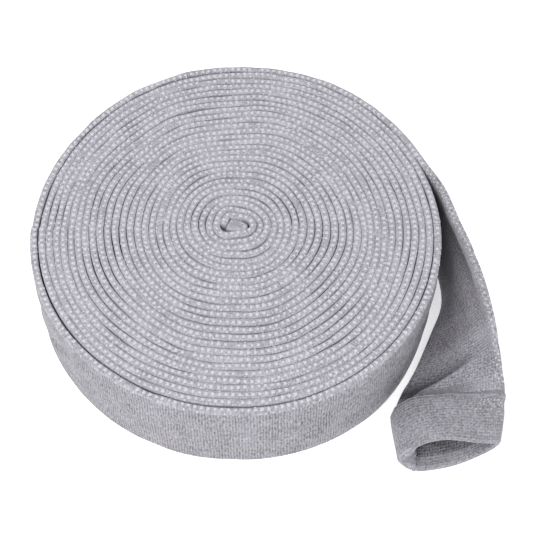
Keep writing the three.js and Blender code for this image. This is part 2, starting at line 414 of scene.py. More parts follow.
def sags(u, v):
    """The outermost winding isn't pressed by another one, so its outer wall swells and sinks a little."""
    on_wall = smooth(v, 3, 16) * smooth(v, FLAT_WIDTH + 4, FLAT_WIDTH - 12)
    loose = smooth(u, length_at(FRONT_START - 10), length_at(FRONT_START + 40))
    calm = 1 - 0.6 * smooth(u, COIL_LENGTH, COIL_LENGTH + 60)
    return (SAG * wall_waves.over(u, v * 1.8) + SWELL) * on_wall * loose * calm


def crease_line(t):
    """Distance from the upper fold to the crease behind the turned-back edge, which slants towards the roll."""
    return 9 + CREASE_SLANT * np.clip((t - CREASE_START) / (CREASE_END - CREASE_START), 0, 1)


def valley(t, from_upper):
    """The hollow in the inner face beyond the crease, and the soft ridge on the mouth's side of it."""
    beyond = from_upper - crease_line(t)
    sunk = -VALLEY * smooth(beyond, -2, 4) * smooth(beyond, 34, 8) * smooth(from_upper, 67, 62)
    ridge = VALLEY_RIDGE * bump_at(beyond, -7, 8) * smooth(t, 7.9, 7.0)
    return smooth(t, 5.9, 6.7) * (sunk + ridge)


def tail_folds(rows, v):
    """Soft hollows and ridges of the free end. Its inner ply doesn't sink through the outer one."""
    t = rows.t[:, None]
    from_upper = -v - FOLD
    inner = smooth(from_upper, 1, 8) * smooth(from_upper, FLAT_WIDTH, FLAT_WIDTH - 8)
    outer = smooth(v, 2, 14) * smooth(v, FLAT_WIDTH + 2, FLAT_WIDTH - 10)
    loose = smooth(t, 1.0, 3.5) * smooth(t, MOUTH_ROOT, MOUTH_ROOT - 0.6)
    dents = loose * tail_waves.over(rows.u[:, None], v * 0.8)
    ridge = RIDGE * bump_at(t, 6.4, 0.75) * bump_at(from_upper, 26, 22)
    gutter = -GUTTER * bump_at(from_upper, 15, 8) * bump_at(t, 3.7, 1.8)
    tucked = -TUCKED_IN * smooth(t, MOUTH_ROOT, MOUTH_ROOT + 0.05)
    room = rows.open_out(rows.width - np.clip(from_upper, 0, FLAT_WIDTH), rows.half)
    deepest = -np.maximum(room * mix(1.8, 1.0, smooth(t, 6.4, MOUTH_ROOT)) - PLY_GAP, 0)
    hollow = np.where(v < 0, np.maximum(valley(t, from_upper), deepest), 0)
    return inner * (ridge + gutter + INNER_DENTS * dents) + hollow + OUTER_DENTS * outer * dents + tucked


def plain_relief(rows, v):
    return beads(rows.u[:, None], v)


def fine_relief(rows, v):
    """The relief of the visible walls. On the free end the beads are half as high, and the inner ply's ribs are
    faint."""
    u = rows.u[:, None]
    on_tail = smooth(rows.t[:, None], 0.5, 3)
    bead_share = 1 - 0.5 * on_tail
    rib_share = 1 - 0.85 * on_tail * smooth(-v, 0, 6)
    return beads(u, v) * bead_share + ribs(u, v) * rib_share + sags(u, v) + tail_folds(rows, v)


# ----meshes


def linked_object(name, data):
    obj = bpy.data.objects.new(name, data)
    bpy.context.scene.collection.objects.link(obj)
    return obj


def new_object(name, vertices, face_lists, uvs=None):
    """A smooth mesh object from millimetre vertices and lists of faces, one list for each number of corners."""
    mesh = bpy.data.meshes.new(name)
    vertices = np.asarray(vertices, float).reshape(-1, 3) * MM
    corners = np.concatenate([np.asarray(faces, np.int32).ravel() for faces in face_lists])
    sizes = np.concatenate([np.full(len(faces), np.shape(faces)[1], np.int32) for faces in face_lists])
    mesh.vertices.add(len(vertices))
    mesh.vertices.foreach_set("co", vertices.astype(np.float32).ravel())
    mesh.loops.add(len(corners))
    mesh.loops.foreach_set("vertex_index", corners)
    mesh.polygons.add(len(sizes))
    mesh.polygons.foreach_set("loop_start", np.concatenate([[0], np.cumsum(sizes)[:-1]]).astype(np.int32))
    mesh.polygons.foreach_set("loop_total", sizes)
    mesh.polygons.foreach_set("use_smooth", np.ones(len(sizes), bool))
    if uvs is not None:
        layer = mesh.uv_layers.new(name=UV_LAYER)
        layer.data.foreach_set("uv", np.asarray(uvs, np.float32).ravel())
    mesh.update(calc_edges=True)
    return linked_object(name, mesh)


def closed_skin(name, points, u, v):
    """A closed skin from rows of points that each go once round, capped at both ends. Its texture map has a u
    for each row, and a v for each column and one more for the seam."""
    rows, columns = points.shape[:2]
    index = np.arange(rows * columns).reshape(rows, columns)
    following = np.roll(index, -1, axis=1)
    quads = np.stack([index[:-1], following[:-1], following[1:], index[1:]], -1).reshape(-1, 4)
    row, column = np.meshgrid(np.arange(rows - 1), np.arange(columns), indexing="ij")
    corner_u = np.stack([u[row], u[row], u[row + 1], u[row + 1]], -1)
    corner_v = np.stack([v[column], v[column + 1], v[column + 1], v[column]], -1)
    uvs = [np.stack([corner_u, corner_v], -1).reshape(-1, 2)]
    uvs.append(np.column_stack([np.full(columns, u[0]), v[:-1][::-1]]))
    uvs.append(np.column_stack([np.full(columns, u[-1]), v[:-1]]))
    return new_object(name, points, [quads, index[:1, ::-1], index[-1:]], np.concatenate(uvs))


def band_skin(name, u, section, relief):
    rows = rows_at(u)
    height = relief(rows, section.v[None, :-1])
    return closed_skin(name, section.points(rows, height), u, section.v)


# ----white stitches


def strand_template():
    """A plump bit of yarn along x with pointed ends: its points, its quads and its triangles."""
    around, shoulder, taper = 6, 0.62, 0.9
    angles = np.arange(around) * 2 * math.pi / around
    points = [(-1, 0, 0)]
    for x in (-shoulder, 0.0, shoulder):
        radius = math.sqrt(1 - taper * x * x)
        points += [(x, radius * math.cos(a), radius * math.sin(a)) for a in angles]
    points.append((1, 0, 0))
    quads, triangles = [], []
    for k in range(around):
        following = (k + 1) % around
        for near in (1, 1 + around):
            far = near + around
            quads.append((near + k, near + following, far + following, far + k))
        last = 1 + 2 * around
        triangles.append((0, 1 + following, 1 + k))
        triangles.append((len(points) - 1, last + k, last + following))
    return np.array(points, float), np.array(quads), np.array(triangles)


STRAND = strand_template()


def unit(vectors):
    return vectors / np.maximum(np.linalg.norm(vectors, axis=-1, keepdims=True), 1e-9)


def strands(name, centre, along, normal, size):
    """Many bits of yarn as one mesh. A row of size is a bit's half length, half width and half height."""
    points, quads, triangles = STRAND
    axes = np.stack([along, unit(np.cross(normal, along)), normal], 1) * size[:, :, None]
    vertices = centre[:, None] + np.einsum("pk,nkd->npd", points, axes)
    base = (np.arange(len(centre)) * len(points))[:, None, None]
    return new_object(name, vertices, [(quads + base).reshape(-1, 4), (triangles + base).reshape(-1, 3)])


FOLD_TURNS = np.linspace(0, math.pi / 2, 40)  # fine steps of a quarter turn over the upper fold


def on_skin(u, s, lift=0.0):
    """Points on the band's skin at lengths u and signed distances s from the top of the upper fold, which are
    positive on the outer ply, lifted off it a little."""
    rows = rows_at(u)
    depth = FOLD * (1 - np.clip(np.cos(FOLD_TURNS), 0, 1) ** SQUARENESS) + 0 * rows.width
    out = rows.open_out(depth, rows.half * np.sin(FOLD_TURNS) ** SQUARENESS)
    steps = np.hypot(np.diff(out), np.diff(depth))
    arc = np.concatenate([np.zeros((len(rows.u), 1)), np.cumsum(steps, 1)], 1)
    reach = np.abs(s)[:, None]
    last = np.clip((arc < reach).sum(1, keepdims=True), 1, len(FOLD_TURNS) - 1)
    low, high = np.take_along_axis(arc, last - 1, 1), np.take_along_axis(arc, last, 1)
    share = np.clip((reach - low) / np.maximum(high - low, 1e-6), 0, 1)

    def between(table):
        return mix(np.take_along_axis(table, last - 1, 1), np.take_along_axis(table, last, 1), share)

    turn = between(np.broadcast_to(FOLD_TURNS, arc.shape))
    beyond = np.maximum(reach - arc[:, -1:], 0)
    from_upper = between(depth) + beyond
    across = rows.width - from_upper + lift * np.cos(turn)
    raised = np.where(beyond > 0, rows.open_out(from_upper, rows.half), between(out)) + lift * np.sin(turn)
    return rows.at(across, np.where(s[:, None] < 0, -1, 1) * raised)[:, 0]


def joined(parts):
    """Columns from a list of parts that each hold a piece of every column."""
    return [np.concatenate(column) for column in zip(*parts)]


ARM = (1.16, 0.62, 0.3)  # half length, half width and half height of one arm of a white stitch of size 1
ARM_SPREAD = 0.4  # how far each arm lies from the middle of its stitch
ARM_SLANT, SLANT_CHANGE = 8, 9  # degrees


def stitch_places(start, end, lines):
    """Lengths, distances, sizes and draws of the white stitches between two lengths. Each line gives a distance
    from the top of the fold, a size, the share of stitches shown, and how far it wanders."""
    found, most = [], 4000
    for number, (distance, size, share, wander) in enumerate(lines):
        k = np.arange(math.ceil(start / FLECK_PITCH), math.ceil(end / FLECK_PITCH))
        lots = np.random.RandomState(31 + number).uniform(0, 1, (most, 2))[k % most]
        u = (k + 0.5 * (number % 2)) * FLECK_PITCH + 0.5 * (lots[:, 1] - 0.5)
        patch = fleck_patches.along(u + 900 * number) + 0.6 * fleck_places.along(u + 300 * number)
        shown = lots[:, 0] < share * (1 - 0.5 * smooth(patch, -0.9, -1.5))
        s = distance + wander * fleck_drift.along(u) + 0.25 * (lots[:, 0] - 0.5)
        sizes = size * (0.8 + 0.34 * lots[:, 1])
        found.append([column[shown] for column in (u, s, sizes, lots[:, 0])])
    return joined(found)


def white_stitches(name, start, end, lines):
    """The white stitches between two lengths. Each is a V of two bits of yarn."""
    u, s, size, draws = stitch_places(start, end, lines)
    parts = []
    reach, lift = 0.3, 0.03
    for arm in (-1, 1):
        middle = s + arm * ARM_SPREAD * size
        along = unit(on_skin(u + reach, middle) - on_skin(u - reach, middle))
        over = unit(on_skin(u, middle + reach) - on_skin(u, middle - reach))
        slant = np.radians(ARM_SLANT + SLANT_CHANGE * draws)[:, None] * arm
        turned = unit(along * np.cos(slant) + over * np.sin(slant))
        parts.append((on_skin(u, middle, lift), turned, unit(np.cross(along, over)), np.outer(size, ARM)))
    return strands(name, *joined(parts))


# Lines of white stitches: distance from the top of the upper fold, size, share shown and wandering.
ROLL_LINES = [(0.0, 1.0, 0.99, 0.4), (1.9, 0.6, 0.16, 0.2), (-1.9, 0.6, 0.16, 0.2)]
WALL_LINES = [(-0.4, 1.0, 0.99, 0.25), (2.6, 0.55, 0.35, 0.3), (-2.2, 0.6, 0.2, 0.2)]
TAIL_LINES = [(1.2, 0.6, 0.8, 0.15), (-0.7, 0.68, 0.95, 0.15), (-2.6, 0.62, 0.75, 0.2), (-4.5, 0.5, 0.3, 0.3)]


# ----materials


class Nodes:
    """A short way to write a material's nodes. Each call makes one node and returns its output."""

    def __init__(self, name):
        self.material = bpy.data.materials.new(name)
        self.material.use_nodes = True
        self.tree = self.material.node_tree
        self.tree.nodes.clear()

    def plug(self, socket, value):
        if isinstance(value, bpy.types.NodeSocket):
            self.tree.links.new(value, socket)
        else:
            socket.default_value = value

    def add(self, kind, values=(), output=0, settings=None, **inputs):
        """values fill the first inputs in order; inputs are named, with _ for a space."""
        node = self.tree.nodes.new(kind)
        for key, value in (settings or {}).items():
            setattr(node, key, value)
        for number, value in enumerate(values):
            self.plug(node.inputs[number], value)
        for key, value in inputs.items():
            self.plug(node.inputs[key.replace("_", " ")], value)
        return node.outputs[output] if len(node.outputs) else None

    def math(self, operation, a, b=0.0, c=0.0):
        return self.add("ShaderNodeMath", (a, b, c), settings={"operation": operation})

    def wave(self, value, length):
        """0 to 1, once for each length."""
        turned = self.math("MULTIPLY", value, 2 * math.pi / length)
        return self.math("MULTIPLY_ADD", self.math("COSINE", turned), 0.5, 0.5)

    def noise(self, vector, scale, detail=2.0, rough=0.5):
        return self.add("ShaderNodeTexNoise", Vector=vector, Scale=scale, Detail=detail, Roughness=rough)

    def stretched(self, vector, x, y, z=1.0):
        return self.add("ShaderNodeVectorMath", (vector, (x, y, z)), settings={"operation": "MULTIPLY"})

    def product(self, first, *others):
        for other in others:
            first = self.math("MULTIPLY", first, other)
        return first

    def range(self, value, low, high, to_low=0.0, to_high=1.0):
        return self.add("ShaderNodeMapRange", (value, low, high, to_low, to_high))

    def mix(self, share, a, b):
        node = self.tree.nodes.new("ShaderNodeMix")
        node.data_type = "RGBA"
        for number, value in ((0, share), (6, a), (7, b)):
            self.plug(node.inputs[number], value)
        return node.outputs[2]

    def mix_greys(self, share, pair, greys):
        """The darkest and the palest colour, turned into the other two greys by a share."""
        return [self.mix(share, color, lavender(value)) for color, value in zip(pair, greys)]

    def object_place(self):
        return self.add("ShaderNodeTexCoord", output=3)

    def finish(self, color, height, bump, roughness, sheen, glow=0.0):
        normal = self.add("ShaderNodeBump", Strength=1.0, Distance=bump * MM, Height=height)
        shader = self.add(
            "ShaderNodeBsdfPrincipled",
            Base_Color=color,
            Roughness=roughness,
            Normal=normal,
            Specular_IOR_Level=0.15,
            Sheen_Weight=sheen,
            Sheen_Roughness=0.6,
            Emission_Color=color,
            Emission_Strength=glow,
        )
        self.add("ShaderNodeOutputMaterial", Surface=shader)
        return self.material


def gray(value, warm=0.0, blue=0.0):
    return (value * (1 + warm), value, value * (1 + blue), 1.0)


def lavender(value):
    """The sleeve's grey, which leans a little towards violet."""
    return gray(value, 0.03, 0.11)


KNIT_GREYS = (0.27, 0.64)  # the darkest and the palest grey on the windings' upper folds
OUTER_FOLD_GREYS = (0.24, 0.62)  # on the outermost winding's upper fold
WALL_GREYS = (0.09, 0.46)  # on the roll's wall
TAIL_GREYS = (0.16, 0.58)  # on the free end
INNER_FACE_GREYS = (0.15, 0.62)  # on its inner ply beyond the crease
REVERSE_SHADED_GREYS = (0.05, 0.36)  # on the inside of the tube, seen in the mouth: the reverse side's grey with painted shade, darker than the knit outside
CUFF_GREYS = (0.15, 0.49)  # on the turned-back edge
# grey of the shade painted on the free end's knit
SHADE_GREY = 0.02
CREASE_SHADE, LIP_SHADE, WEDGE_SHADE = 0.88, 0.78, 0.92  # how far the painted shade in each place goes towards the shade's grey
FIBRES_WEIGHT, SPECKS_WEIGHT, MOTTLE_WEIGHT = 0.36, 0.27, 0.18


def inner_face(n, along, down):
    """Where the free end's inner face is beyond the crease's line, and how dark the shade painted on it is in
    the crease, beside the upper fold and in the wedge beside the roll."""

    def stations(first, last, to_first, to_last):
        return n.range(along, length_of_station(first), length_of_station(last), to_first, to_last)

    from_crease = n.math("ADD", down, stations(CREASE_START, CREASE_END, 0.0, CREASE_SLANT))
    beyond = n.range(from_crease, -4.0, -9.0)
    sharp = n.range(from_crease, -7.0, -11.0)
    far, near = n.range(from_crease, -42.0, -14.0), n.range(from_crease, -26.0, -12.0)
    # painted shade: in the crease behind the turned-back edge, beside the upper fold and in the wedge beside
    # the roll
    crease = n.product(sharp, far, stations(5.8, 6.7, 0.0, CREASE_SHADE))
    lip = n.product(sharp, near, stations(1.8, 2.8, 0.0, 1.0), stations(3.8, 5.2, LIP_SHADE, 0.0))
    wedge = n.product(beyond, stations(2.0, 3.8, WEDGE_SHADE, 0.0))
    return beyond, n.math("MAXIMUM", n.math("MAXIMUM", crease, lip), wedge)


def knit_material(name, greys, rib_weight, grid, streak, far_greys=None, fold_greys=None):
    """Heather knit: ribs across the band, loops that break them up, streaks, specks of darker fibre, mottling.
    greys are the darkest and the palest, rib_weight is how much the ribs show away from the upper fold, grid
    how much the loops show, streak how many times longer than wide the streaks are. fold_greys are the greys
    on the upper fold. far_greys are those of the inner ply beyond the crease's line, and with them the outer
    ply starts in the greys of the roll's wall and shade is painted on the inner ply in the crease, beside the
    upper fold and in the wedge beside the roll."""
    n = Nodes(name)
    place = n.add("ShaderNodeUVMap", settings={"uv_map": UV_LAYER})
    along, down = (n.add("ShaderNodeSeparateXYZ", (place,), output=k) for k in (0, 1))
    from_fold = n.math("ABSOLUTE", down)

    wobble = n.noise(n.object_place(), 180.0)
    u, v = n.math("MULTIPLY_ADD", wobble, 1.3, along), n.math("MULTIPLY_ADD", wobble, 0.9, down)
    chevrons = n.math("MULTIPLY_ADD", n.math("PINGPONG", u, COURSE / 2), 0.9, v)
    loops = n.math("MULTIPLY_ADD", n.wave(chevrons, COURSE), grid, 1 - grid)
    stitch = n.product(n.wave(u, COURSE), loops)
    fibres = n.range(n.noise(n.stretched(place, 0.9, 0.9 / streak), 1.0, 2.0, 0.6), 0.34, 0.66)
    specks = n.range(n.noise(n.stretched(place, 0.55, 0.5), 1.0, 3.0, 0.7), 0.34, 0.66)
    mottle = n.range(n.noise(n.object_place(), 75.0, 3.0, 0.6), 0.3, 0.7)

    ribs_shown = n.range(from_fold, 1.5, 6.0, 0.3 * rib_weight, rib_weight)
    tone = n.math("MULTIPLY_ADD", n.math("SUBTRACT", stitch, 0.4), ribs_shown, 0.1)
    for part, weight in ((fibres, FIBRES_WEIGHT), (specks, SPECKS_WEIGHT), (mottle, MOTTLE_WEIGHT)):
        tone = n.math("MULTIPLY_ADD", part, weight, tone)

    pair = [lavender(value) for value in greys]
    if fold_greys:
        on_fold = n.range(from_fold, 1.5, 4.5, 1.0, 0.0)
        pair = n.mix_greys(on_fold, pair, fold_greys)
    shade = 0.0
    if far_greys:
        beyond, shade = inner_face(n, along, n.math("MULTIPLY_ADD", mottle, 4.0, down))
        root = n.range(along, length_of_station(1), length_of_station(4), 1.0, 0.0)
        outer_root = n.product(root, n.range(down, 1.0, 4.0))
        pair = n.mix_greys(outer_root, n.mix_greys(beyond, pair, far_greys), WALL_GREYS)
    color = n.mix(n.range(tone, 0.18, 0.82), *pair)
    # painted shade: the colour goes towards the shade's grey where the free end's knit lies in shade
    color = n.mix(shade, color, lavender(SHADE_GREY))
    height = n.math("MULTIPLY_ADD", fibres, 0.6, stitch)
    return n.finish(color, height, bump=0.3, roughness=n.range(fibres, 0.0, 1.0, 0.88, 1.0), sheen=0.2)


def yarn_material(name, color, shade):
    """Soft spun yarn: fine fibres, slightly uneven in tone."""
    n = Nodes(name)
    fibres = n.noise(n.object_place(), 2600.0, 3.0, 0.6)
    tone = n.mix(n.range(fibres, 0.3, 0.7), shade, color)
    return n.finish(tone, fibres, bump=0.06, roughness=n.range(fibres, 0.3, 0.7, 0.85, 0.98), sheen=0.3)


def floor_material():
    n = Nodes("studio_floor")
    grain = n.noise(n.object_place(), 3.0)
    tone = n.mix(grain, gray(0.93), gray(0.95))
    return n.finish(tone, grain, bump=0.0, roughness=0.9, sheen=0.0, glow=0.55)


KNIT = knit_material("heather_knit", KNIT_GREYS, rib_weight=0.2, grid=0.5, streak=1.2)
WALL = knit_material(
    "heather_knit_wall", WALL_GREYS, rib_weight=0.27, grid=0.35, streak=3.2, fold_greys=OUTER_FOLD_GREYS
)
TAIL = knit_material(
    "heather_knit_tail", TAIL_GREYS, rib_weight=0.3, grid=0.9, streak=1.3, far_greys=INNER_FACE_GREYS
)
# the inside of the tube: its greys hold painted shade
REVERSE = knit_material("heather_knit_reverse_shaded", REVERSE_SHADED_GREYS, rib_weight=0.4, grid=0.9, streak=1.2)
CUFF = knit_material("cuff_knit", CUFF_GREYS, rib_weight=0.26, grid=0.8, streak=1.3)
FLECK = yarn_material("white_yarn", gray(0.73, 0.01, 0.07), gray(0.61, 0.01, 0.09))
TAIL_FLECK = yarn_material("pale_yarn", gray(0.66, 0.01, 0.07), gray(0.54, 0.01, 0.09))
THREAD = yarn_material("cuff_thread", gray(0.46, 0.0, 0.07), gray(0.36, 0.0, 0.08))


def finished(obj, material):
    obj.data.materials.append(material)
    return obj


# ----the roll


def point_on_band(u):
    """A point of the band's middle in metres."""
    rows = rows_at([u])
    return Vector(rows.at(rows.width / 2, 0)[0, 0]) * MM


def band_pair(name, start, end, step, section, relief, lines, knit, yarn):
    """A stretch of the band and its white stitches."""
    skin = finished(band_skin(name + "_knit", places(start, end, step), section, relief), knit)
    return skin, finished(white_stitches(name + "_stitches", start, end, lines), yarn)


PLAIN = {"step": COIL_STEP, "section": PLAIN_SECTION, "relief": plain_relief}
FINE = {"step": WALL_STEP, "section": FINE_SECTION, "relief": fine_relief}
INNER_BAND = {**PLAIN, "lines": ROLL_LINES, "knit": KNIT, "yarn": FLECK}
WALL_BAND = {**FINE, "lines": WALL_LINES, "knit": WALL, "yarn": FLECK}
TAIL_BAND = {**FINE, "lines": TAIL_LINES, "knit": TAIL, "yarn": TAIL_FLECK}


def riding_stretch(name, body, start, end, **how):
    """A stretch that rides one body. Its skin is returned."""
    pair = band_pair(name, start, end, **how)
    for piece in pair:
        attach(piece, body)
    return pair[0]


def bending_stretch(name, body, next_body, start, end, line=(0.0, 1.0), **how):
    """A stretch between two bodies, baked where it lies. line is not used."""
    pair = band_pair(name, start, end, **how)
    first, last = point_on_band(start), point_on_band(end)
    for piece in pair:
        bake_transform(piece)
    return pair[0]


def build_rings():
    """The core, five rings and the outer turns, and the sloping half turns between them."""
    bodies = ["core"] + [f"ring_{i}" for i in range(1, 6)] + ["roll_outer"]
    starts = [length_at(wound) for wound in [CORE_START] + [cut + RAMP for cut in RING_CUTS]]
    ends = [length_at(wound) for wound in [cut - RAMP for cut in RING_CUTS] + [FRONT_START]]
    for body, start, end in zip(bodies, starts, ends):
        skin = riding_stretch(body, body, start, end, **INNER_BAND)
        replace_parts(skin, "outer_turns" if body == "roll_outer" else body + "_turns")
    for body, next_body, start, end in zip(bodies, bodies[1:], ends, starts[1:]):
        bending_stretch(body + "_ramp", body, next_body, start, end, **INNER_BAND)


def build_core_fold():
    """The sleeve's inner end, folded on itself: a plain squarish pad in the middle of the roll."""
    columns, wall_rings, crown_rings = 48, 6, 10
    half_x, half_y, squareness, tilt = 6.4, 4.5, 2 / 2.9, math.radians(-8)
    middle_x, middle_y = 0.8 + DRIFT[0], -2.2 + DRIFT[1]
    top, crown, rumple, girth = FLAT_WIDTH - 0.9 + DOME, 2.4, 0.25, 32
    turn = np.linspace(0, 2 * math.pi, columns, endpoint=False)
    across, along = (np.sign(wave) * np.abs(wave) ** squareness for wave in (np.cos(turn), np.sin(turn)))
    x, y = half_x * across + 0.9 * np.cos(2 * turn + 0.8), half_y * along + 0.5 * np.cos(3 * turn)
    rings = [(0.3, 0.8), (1.2, 1.0)] + [(z, 1.0) for z in np.linspace(8, top - 2.5, wall_rings)]
    for angle in np.linspace(0, math.pi / 2, crown_rings + 1)[1:]:
        rings.append((top - crown * (1 - math.sin(angle)), mix(1.0, 0.55, 1 - math.cos(angle))))
    points = []
    for z, scale in rings:
        px, py = x * scale, y * scale
        height = z + (rumple * np.cos(px * 1.1) * np.cos(py * 0.9) if z > top - 1 else 0 * px)
        turned_x = middle_x + px * math.cos(tilt) - py * math.sin(tilt)
        turned_y = middle_y + px * math.sin(tilt) + py * math.cos(tilt)
        points.append(np.column_stack([turned_x, turned_y, height]))
    heights = np.array([z for z, _ in rings])
    pad = closed_skin("core_fold", np.array(points), heights, np.linspace(0, girth, columns + 1))
    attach(finished(pad, KNIT), "core")


PEEL_LINES = [(0.0, 0.6736)] + 4 * [(0.3264, 0.6736)] + [(0.3264, 1.0), (-1.2, 1.0)]


def build_outer_wall():
    """The visible half of the outermost winding, and the last half turn in stretches between its hinges, each
    baked where it lies. The last one reaches the free end's first station."""
    bodies = ["roll_outer"] + [f"peel_{i}" for i in range(1, 7)] + ["tail"]
    hinges = [PEEL_START + PEEL_STEP * i for i in range(7)]
    ends = [length_at(hinge - PEEL_STEP / 2) for hinge in hinges] + [length_of_station(1)]
    riding_stretch("outer_front", "roll_outer", length_at(FRONT_START), ends[0], **WALL_BAND)
    for i, line in enumerate(PEEL_LINES):
        name = f"peel_bend_{i + 1}"
        skin = bending_stretch(name, bodies[i], bodies[i + 1], ends[i], ends[i + 1], line=line, **WALL_BAND)
        if bodies[i + 1] != "tail":
            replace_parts(skin, f"peel_segment_{i + 1}")


def build_tail():
    """The free end as far as the root of the mouth, where it goes on a little inside the mouth's own skin."""
    start, bend, root = (length_of_station(t) for t in (1, TAIL_BEND, MOUTH_ROOT + 0.1))
    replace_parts(riding_stretch("tail", "tail", start, bend, **TAIL_BAND), "tail_root")
    pair = band_pair("tail_bend", bend, root, **TAIL_BAND)
    first = point_on_band(bend)
    last = Vector((first.x, point_on_band(root).y, first.z))
    for piece in pair:
        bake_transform(piece)
    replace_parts(pair[0], "tail_middle")


# ----the mouth and its turned-back edge

MOUTH_COLUMNS = 110
SKIN_ROWS, EDGE_ROWS, CUFF_ROWS, RIM_ROWS, INSIDE_ROWS = 14, 7, 30, 14, 26
SKIN_CLOTH, CUFF_CLOTH, REVERSE_CLOTH = 0, 1, 2

ARCH, UPPER_BACK, DROOP = 2.5, 3.8, 1.6  # how far the upper ply rises, stays back and droops at the right
UPPER_SWELL, LOWER_SWELL, LEFT_SWELL = 1.1, 0.4, 1.2  # how far the turned-back edge puffs out
RIPPLE = 0.6  # height of its ripples
HEM_WAVES, DRAWN_BACK = 1.4, 4.5  # how far its hem waves, and is drawn back near the lower fold
LIP_RIDGE, LIP_CREASE = 1.2, 1.5  # height and depth of the crease in the lower ply
CLOSING = 7.0  # how far the mouth's end is pinched near the lower fold


def on_arc(turn, middle, reach):
    """A bump whose middle and reach are shares of the half turn from the lower to the upper fold."""
    return bump_at(turn, middle * math.pi, reach * math.pi)


def mouth_loop():
    """Columns once round the tube: ply (1 below, -1 above) and turn (0 at the lower fold, pi at the upper)."""
    turn = np.linspace(0, math.pi, MOUTH_COLUMNS + 1)
    ply = np.concatenate([np.ones(MOUTH_COLUMNS + 1), -np.ones(MOUTH_COLUMNS - 1)])
    return ply, np.concatenate([turn, turn[-2:0:-1]])


def wall_points(t, ply, turn, depth, forward):
    """Points of the open tube's wall; depth is measured outwards from its own surface."""
    rows = Rows(t, t, tail_rows(t))
    half_width = rows.width / 2
    lean_x, lean_y = -np.cos(turn) / half_width, np.sin(turn) / rows.half
    size = np.hypot(lean_x, lean_y)
    across = half_width * (1 - np.cos(turn)) + lean_x / size * depth
    out = rows.half * np.sin(turn) + lean_y / size * depth
    arched = smooth(t, MOUTH_ROOT, MOUTH_ROOT + 1.0)[:, None]
    out = out + np.where(ply < 0, ARCH * arched * np.sin(turn), 0)
    out = np.where(np.sin(turn) < 1e-6, 0, np.maximum(out, PLY_GAP))
    points = rows.at(across, ply * out)
    lip = smooth(t, MOUTH_ROOT + 0.1, MOUTH)[:, None] * LOWER_LIP * np.sin(turn) * (1 - turn / math.pi)
    back = -UPPER_BACK * arched * on_arc(turn, 0.37, 0.37)
    droop = DROOP * smooth(t, HEM + 0.2, MOUTH)[:, None] * on_arc(turn, 0.76, 0.26)
    points[..., 1] -= np.where(ply > 0, lip, back + droop) + forward
    return points


def mouth_rows():
    """The wall's path from the mouth's root, over the turned-back edge, round the rim and back inside. Each row
    holds station, depth, forward reach, its shares of the puffing and of the pinching, and its cloth."""
    before_hem, after_hem, before_rim = HEM - 0.2, HEM + 0.17, MOUTH - 0.03
    rim, rim_reach = 2.4, 2.65
    middle = CUFF_THICKNESS - rim
    rows = [(t, 0.0, 0.0, 0.0, 0.0, SKIN_CLOTH) for t in np.linspace(MOUTH_ROOT, before_hem, SKIN_ROWS)]
    for share in np.linspace(0.08, 1, EDGE_ROWS):
        depth = CUFF_THICKNESS * float(smooth(share, 0, 0.95)) - 0.5 * float(bump_at(share, 0.1, 0.2))
        rows.append((before_hem + 0.34 * share, depth, 0.0, 0.3 * share, 0.0, CUFF_CLOTH))
    for t in np.linspace(after_hem, before_rim, CUFF_ROWS):
        rows.append((t, CUFF_THICKNESS, 0.0, 1.0, 0.0, CUFF_CLOTH))
    for a in np.linspace(math.pi / 2, -math.pi / 2, RIM_ROWS):
        depth = middle + rim * math.sin(a)
        rows.append((MOUTH, depth, rim_reach * math.cos(a), 0.8, 0.5 - 0.5 * math.sin(a), CUFF_CLOTH))
    for t in np.linspace(before_rim, MOUTH_ROOT + 0.5, INSIDE_ROWS):
        cloth = CUFF_CLOTH if t > MOUTH - 0.2 else REVERSE_CLOTH
        rows.append((t, middle - rim, 0.0, 0.2, 1.0, cloth))
    return np.array(rows)


